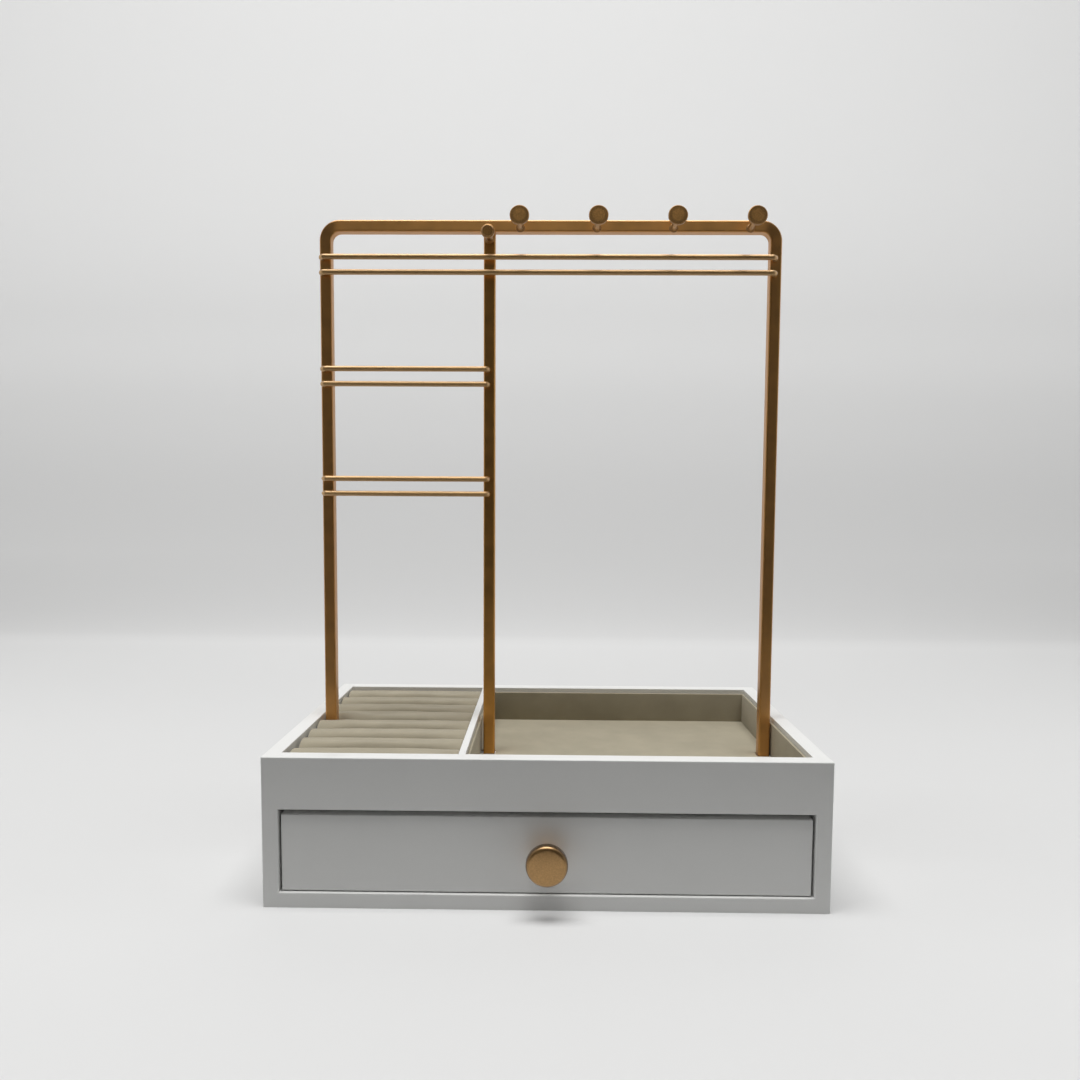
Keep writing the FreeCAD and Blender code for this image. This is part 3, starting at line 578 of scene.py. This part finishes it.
def covered_board(node, body, cover):
    """A velvet-covered board in the place of its CAD solid, with soft edges."""
    form = bmesh.new()
    form.from_mesh(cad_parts[node].data)
    bmesh.ops.remove_doubles(form, verts=form.verts, dist=BOARD_WELD)
    flat = math.radians(BOARD_FLAT_ANGLE)
    bmesh.ops.dissolve_limit(form, angle_limit=flat, verts=form.verts, edges=form.edges)
    mesh = bpy.data.meshes.new(f"velvet_{node}")
    form.to_mesh(mesh)
    form.free()
    mesh.materials.clear()
    mesh.materials.append(cover)
    mesh.shade_smooth()
    board = bpy.data.objects.new(f"velvet_{node}", mesh)
    bpy.context.scene.collection.objects.link(board)
    soften = board.modifiers.new("soft_edges", "BEVEL")
    soften.width = BOARD_EDGE
    soften.segments = BOARD_EDGE_STEPS
    soften.limit_method = "ANGLE"
    soften.harden_normals = True
    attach(board, body)
    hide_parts(node)


# ================================================================ knob
def knob_neck(rim):
    """(out, radius) down from the foot to the neck and flaring up to the back of the head."""
    neck_start, neck_end = KNOB_NECK_RUN
    profile = []
    for step in range(1, KNOB_NECK_STEPS + 1):
        turn = math.radians(90) * step / KNOB_NECK_STEPS
        out = KNOB_FOOT_RUN + (neck_start - KNOB_FOOT_RUN) * (1 - math.cos(turn))
        profile.append((out, KNOB_FOOT - (KNOB_FOOT - KNOB_NECK) * math.sin(turn)))
    flare = rim - KNOB_BACK_ROUND - KNOB_NECK
    for step in range(KNOB_FLARE_STEPS + 1):
        share = step / KNOB_FLARE_STEPS
        out = neck_end + (KNOB_HEAD_BACK - neck_end) * share
        profile.append((out, KNOB_NECK + flare * share**KNOB_FLARE_POWER))
    return profile


def knob_profile(reach, rim):
    """(out, radius) from the blind bore round the foot, neck and head to the domed face."""
    profile = [(KNOB_BORE_DEPTH, KNOB_BORE), (0.0, KNOB_BORE), (0.0, KNOB_FOOT), (KNOB_FOOT_RUN, KNOB_FOOT)]
    profile += knob_neck(rim)
    slope = math.radians(KNOB_FACE_SLOPE)
    face_edge = rim - KNOB_EDGE_ROUND * (1 - math.sin(slope))
    dome = face_edge / math.sin(slope)
    crown = dome * (1 - math.cos(slope))
    edge_centre = reach - crown - KNOB_EDGE_ROUND * math.cos(slope)
    corners = (
        (KNOB_HEAD_BACK + KNOB_BACK_ROUND, KNOB_BACK_ROUND, 180, 90, KNOB_BACK_STEPS),
        (edge_centre, KNOB_EDGE_ROUND, 90, KNOB_FACE_SLOPE, KNOB_EDGE_STEPS),
    )
    for out, bend, start, end, steps in corners:
        for step in range(steps + 1):
            turn = math.radians(start + (end - start) * step / steps)
            profile.append((out + bend * math.cos(turn), rim - bend + bend * math.sin(turn)))
    for step in range(1, KNOB_FACE_STEPS):
        tilt = slope * (1 - step / KNOB_FACE_STEPS)
        profile.append((reach - dome * (1 - math.cos(tilt)), dome * math.sin(tilt)))
    return profile


def turned_knob():
    """The turned knob: a blind bore, a waisted neck and a softly domed head."""
    low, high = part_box("drawer_knob")
    foot = Vector(((low.x + high.x) / 2, high.y, (low.z + high.z) / 2))
    rings = []
    for out, radius in knob_profile(high.y - low.y, (high.x - low.x) / 2):
        turns = [2 * math.pi * k / KNOB_SEGMENTS for k in range(KNOB_SEGMENTS)]
        rings.append([
            foot + Vector((radius * math.cos(turn), -out, radius * math.sin(turn)))
            for turn in turns
        ])
    knob = mesh_piece("turned_knob", *capped_sweep(rings), GILT_KNOB_PAINTED_SHADE)
    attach(knob, "drawer")
    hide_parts("drawer_knob")


# ================================================================ stage
def seen_glow(nodes, links, strength):
    """A glow that is seen directly, in gloss and through glass, and lights nothing."""
    path = nodes.new("ShaderNodeLightPath")
    seen = path.outputs["Is Camera Ray"]
    for ray in ("Is Glossy Ray", "Is Transmission Ray"):
        seen = math_node(nodes, links, "MAXIMUM", seen, path.outputs[ray])
    return math_node(nodes, links, "MULTIPLY", seen, strength)


def toned_by(nodes, links, place, tones):
    """A tone that follows a place, in metres, along a smooth curve."""
    tone = nodes.new("ShaderNodeFloatCurve")
    curve = tone.mapping.curves[0]
    tone.mapping.use_clip = False
    curve.points[0].location = tones[0]
    curve.points[1].location = tones[-1]
    for stop in tones[1:-1]:
        curve.points.new(*stop)
    tone.mapping.update()
    links.new(place, tone.inputs["Value"])
    return tone.outputs["Value"]


def share_between(nodes, links, place, limits, interpolation="LINEAR"):
    """How far a place has come from the first limit to the second, from 0 to 1."""
    share = nodes.new("ShaderNodeMapRange")
    share.interpolation_type = interpolation
    share.inputs["From Min"].default_value = limits[0]
    share.inputs["From Max"].default_value = limits[1]
    links.new(place, share.inputs["Value"])
    return share.outputs["Result"]


def sweep_painted_shade(nodes, links):
    """The sweep's painted shade and light: by distance back, by height, and to the sides where floor meets
    wall.
    """
    x, y, z = object_place(nodes, links)
    along = toned_by(nodes, links, y, FLOOR_PAINTED_SHADE)
    up = toned_by(nodes, links, z, WALL_PAINTED_SHADE)
    aside = math_node(nodes, links, "MULTIPLY", x, x)
    aside = math_node(nodes, links, "MINIMUM", aside, 1.0)
    back = share_between(nodes, links, y, SIDE_PAINTED_SHADE_DEPTH)
    low = share_between(nodes, links, z, SIDE_PAINTED_SHADE_HEIGHT)
    shade = math_node(nodes, links, "MULTIPLY", back, low)
    shade = math_node(nodes, links, "MULTIPLY", aside, shade)
    shade = math_node(nodes, links, "MULTIPLY", shade, SIDE_PAINTED_SHADE)
    light = math_node(nodes, links, "SUBTRACT", 1.0, shade)
    tone = math_node(nodes, links, "MULTIPLY", along, up)
    return math_node(nodes, links, "MULTIPLY", tone, light)


def far_fade(nodes, links):
    """How far the stage has turned plain white: not at all near the object, fully far off."""
    coordinate = nodes.new("ShaderNodeTexCoord")
    flat = nodes.new("ShaderNodeVectorMath")
    flat.operation = "MULTIPLY"
    flat.inputs[1].default_value = (1, 1, 0)
    links.new(coordinate.outputs["Object"], flat.inputs[0])
    distance = nodes.new("ShaderNodeVectorMath")
    distance.operation = "LENGTH"
    links.new(flat.outputs["Vector"], distance.inputs[0])
    return share_between(nodes, links, distance.outputs["Value"], FAR_FADE, "SMOOTHSTEP")


def sweep_paint():
    """Matt white paper with painted shade and light by place, and a glow that fills the far stage."""
    material, nodes, links, shader = new_material("studio_sweep")
    # Painted shade and light: the paper's colour and its near glow are both scaled by this tone.
    tone = sweep_painted_shade(nodes, links)
    links.new(scaled_colour(nodes, links, FLOOR_COLOUR, tone), shader.inputs["Base Color"])
    shader.inputs["Roughness"].default_value = FLOOR_ROUGHNESS
    shader.inputs["Specular IOR Level"].default_value = FLOOR_GLOSS
    near = math_node(nodes, links, "MULTIPLY", tone, FLOOR_GLOW)
    far = math_node(nodes, links, "MULTIPLY", far_fade(nodes, links), FAR_GLOW)
    glow = math_node(nodes, links, "ADD", near, far)
    links.new(scaled_colour(nodes, links, GLOW_COLOUR, glow), shader.inputs["Emission Color"])
    links.new(seen_glow(nodes, links, 1.0), shader.inputs["Emission Strength"])
    return material


def sweep():
    """The studio floor, which curves up into a wall behind the object."""
    profile = [(FLOOR_FRONT, 0.0), (FLOOR_SEAM, 0.0), (SWEEP_START, 0.0)]
    for step in range(1, SWEEP_STEPS + 1):
        turn = math.radians(90) * step / SWEEP_STEPS
        profile.append((
            SWEEP_START + SWEEP_RADIUS * math.sin(turn),
            SWEEP_RADIUS * (1 - math.cos(turn)),
        ))
    profile.append((SWEEP_START + SWEEP_RADIUS, SWEEP_HEIGHT))
    points = [(x, y, z) for y, z in profile for x in (-SWEEP_HALF_WIDTH, SWEEP_HALF_WIDTH)]
    faces = [(2 * i, 2 * i + 1, 2 * i + 3, 2 * i + 2) for i in range(len(profile) - 1)]
    mesh_piece("studio_sweep", points, faces, sweep_paint())


def light_stage():
    """One wide soft lamp overhead, in an evenly pale room."""
    lamp = bpy.data.lights.new("overhead_softbox", "AREA")
    lamp.shape = "RECTANGLE"
    lamp.size, lamp.size_y = LAMP_SIZE
    lamp.energy = LAMP_POWER
    softbox = bpy.data.objects.new("overhead_softbox", lamp)
    softbox.location = LAMP_PLACE
    bpy.context.scene.collection.objects.link(softbox)

    world = bpy.data.worlds.new("studio_room")
    world.use_nodes = True
    bpy.context.scene.world = world
    nodes, links = world.node_tree.nodes, world.node_tree.links
    background = nodes["Background"]
    background.inputs["Color"].default_value = ROOM_COLOUR
    seen = seen_glow(nodes, links, ROOM_SEEN - ROOM_LIGHT)
    level = math_node(nodes, links, "ADD", seen, ROOM_LIGHT)
    links.new(level, background.inputs["Strength"])


def shade_curtain():
    """A dark sheet round the camera's side, out of view and casting no lamp shadow, that puts shade on the
    paint and dark reflections in the metal.
    """
    points = []
    for step in range(CURTAIN_STEPS + 1):
        turn = math.radians(CURTAIN_FACING + CURTAIN_SPAN * (step / CURTAIN_STEPS - 0.5))
        x, y = CURTAIN_RADIUS * math.cos(turn), CURTAIN_RADIUS * math.sin(turn)
        points += [(x, y, 0.0), (x, y, CURTAIN_HEIGHT)]
    faces = [(2 * i, 2 * i + 2, 2 * i + 3, 2 * i + 1) for i in range(CURTAIN_STEPS)]
    material, _, _, shader = new_material("shade_curtain")
    shader.inputs["Base Color"].default_value = SHADE_CURTAIN_COLOUR
    shader.inputs["Roughness"].default_value = 1.0
    curtain = mesh_piece("shade_curtain", points, faces, material)
    # Painted shade: unseen by the camera and by lamp shadows, seen only as shade and dark reflection.
    curtain.visible_camera = False
    curtain.visible_shadow = False


def place_camera():
    """The camera where the object was seen from."""
    pitch, yaw, roll = CAMERA_PITCH, CAMERA_YAW, CAMERA_ROLL
    ahead = Vector((
        math.sin(yaw) * math.cos(pitch), math.cos(yaw) * math.cos(pitch), -math.sin(pitch)
    ))
    level = Vector((math.cos(yaw), -math.sin(yaw), 0))
    upright = level.cross(ahead)
    right = math.cos(roll) * level + math.sin(roll) * upright
    up = math.cos(roll) * upright - math.sin(roll) * level
    data = bpy.data.cameras.new("camera")
    data.sensor_width = SENSOR_MM
    data.lens = SENSOR_MM * FOCAL_PIXELS / PHOTO_SIZE
    data.shift_y = (PRINCIPAL_ROW - PHOTO_SIZE / 2) / PHOTO_SIZE
    data.clip_start = CAMERA_NEAR
    camera = bpy.data.objects.new("camera", data)
    camera.matrix_world = Matrix.Translation(CAMERA_PLACE) @ Matrix((
        (right.x, up.x, -ahead.x), (right.y, up.y, -ahead.y), (right.z, up.z, -ahead.z)
    )).to_4x4()
    bpy.context.scene.collection.objects.link(camera)
    bpy.context.scene.camera = camera


# ================================================================ scene
place_camera()
light_stage()
sweep()
shade_curtain()
finish_cad_nodes()
ring_rolls()
for lining in ("front", "back", "left", "right"):
    covered_board(f"tray_{lining}_lining", "stand", SHADED_WALL_VELVET)
covered_board("tray_floor_lining", "stand", VELVET)
covered_board("drawer_pad", "drawer", VELVET)
turned_knob()

bpy.context.scene.view_settings.view_transform = "Standard"
